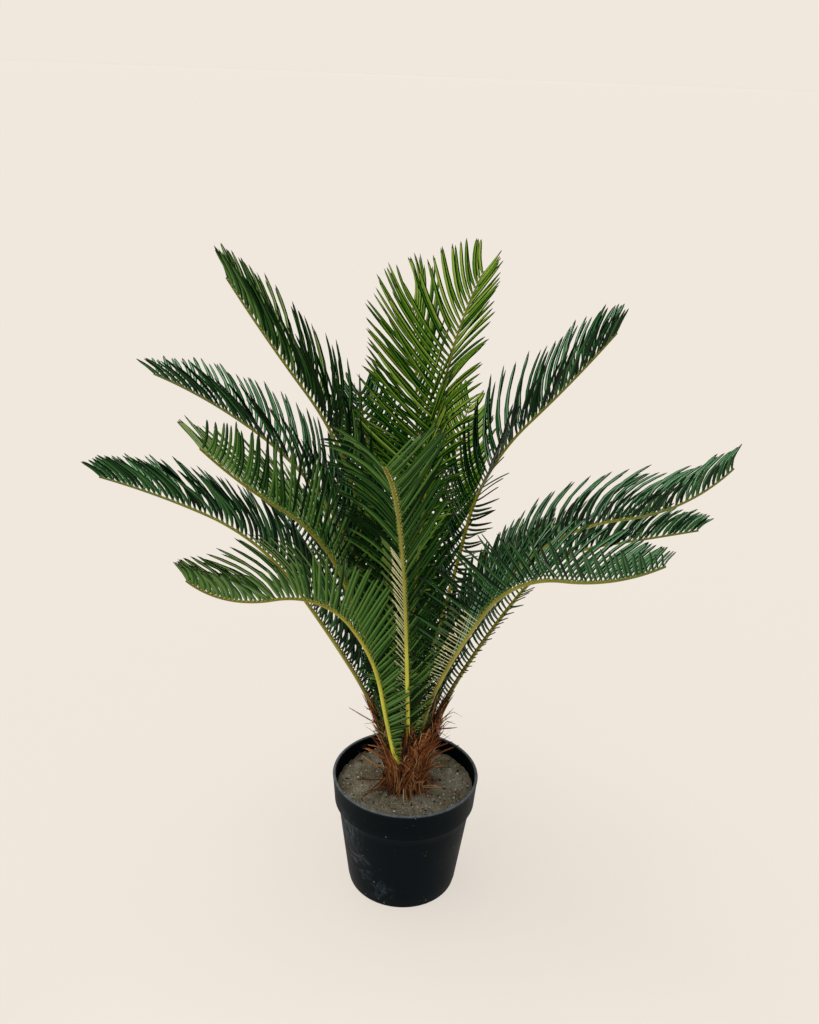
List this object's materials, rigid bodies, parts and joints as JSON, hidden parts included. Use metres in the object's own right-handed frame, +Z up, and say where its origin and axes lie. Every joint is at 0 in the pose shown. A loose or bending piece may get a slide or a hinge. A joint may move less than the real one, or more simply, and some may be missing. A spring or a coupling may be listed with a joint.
{
  "type": "artificial sago palm in a plastic nursery pot",
  "caption": "Artificial sago palm: arching keeled fronds of narrow leaflets rise from a short fibre-wrapped stem set in a round black tapered nursery pot with a collar.",
  "frame": {"origin": "centre of the pot's flat underside, which stands on the floor or shelf", "axes": "+Z up through the pot and the stem, +X to the right and +Y away, seen from the pictured side"},
  "size_m": [0.6209, 0.569, 0.6639],
  "materials": {
    "pot_plastic": "near-black moulded plastic, semi-matt, with scuffs on the body and a paler worn lip",
    "fill_mortar": "rough grey-green set mortar with grit, pits and fibre marks",
    "stem_fibre": "matt reddish-brown palm fibre wrapped in strands",
    "leaf_deep": "moulded leaf plastic, satin deep green, with yellow-green ribs and leaflet feet and darker tips",
    "leaf_bright": "moulded leaf plastic, satin yellow-green, with yellow-green ribs and leaflet feet"
  },
  "bodies": {
    "root": {"pot": "pot_plastic", "fill": "fill_mortar", "stem": "stem_fibre", "frond_left_top_stalk": "leaf_deep", "frond_left_top_tip": "leaf_deep", "frond_left_back_stalk": "leaf_deep", "frond_left_back_tip": "leaf_deep", "frond_left_front_stalk": "leaf_deep", "frond_left_front_tip": "leaf_deep", "frond_left_inner_stalk": "leaf_deep", "frond_left_inner_tip": "leaf_deep", "frond_left_low_stalk": "leaf_deep", "frond_left_low_tip": "leaf_deep", "frond_front_left_stalk": "leaf_deep", "frond_front_left_tip": "leaf_deep", "frond_front_middle_stalk": "leaf_deep", "frond_front_middle_tip": "leaf_deep", "frond_crown_left_stalk": "leaf_bright", "frond_crown_left_tip": "leaf_bright", "frond_crown_right_stalk": "leaf_bright", "frond_crown_right_tip": "leaf_bright", "frond_right_top_stalk": "leaf_deep", "frond_right_top_tip": "leaf_deep", "frond_right_front_stalk": "leaf_deep", "frond_right_front_tip": "leaf_deep", "frond_right_low_stalk": "leaf_deep", "frond_right_low_tip": "leaf_deep", "frond_front_right_stalk": "leaf_deep", "frond_front_right_tip": "leaf_deep", "frond_back_left_stalk": "leaf_deep", "frond_back_left_tip": "leaf_deep", "frond_back_right_stalk": "leaf_bright", "frond_back_right_tip": "leaf_bright", "frond_rear_middle_stalk": "leaf_deep", "frond_rear_middle_tip": "leaf_deep", "frond_rear_right_stalk": "leaf_deep", "frond_rear_right_tip": "leaf_deep", "frond_rear_left_stalk": "leaf_deep", "frond_rear_left_tip": "leaf_deep"}
  },
  "joints": []
}
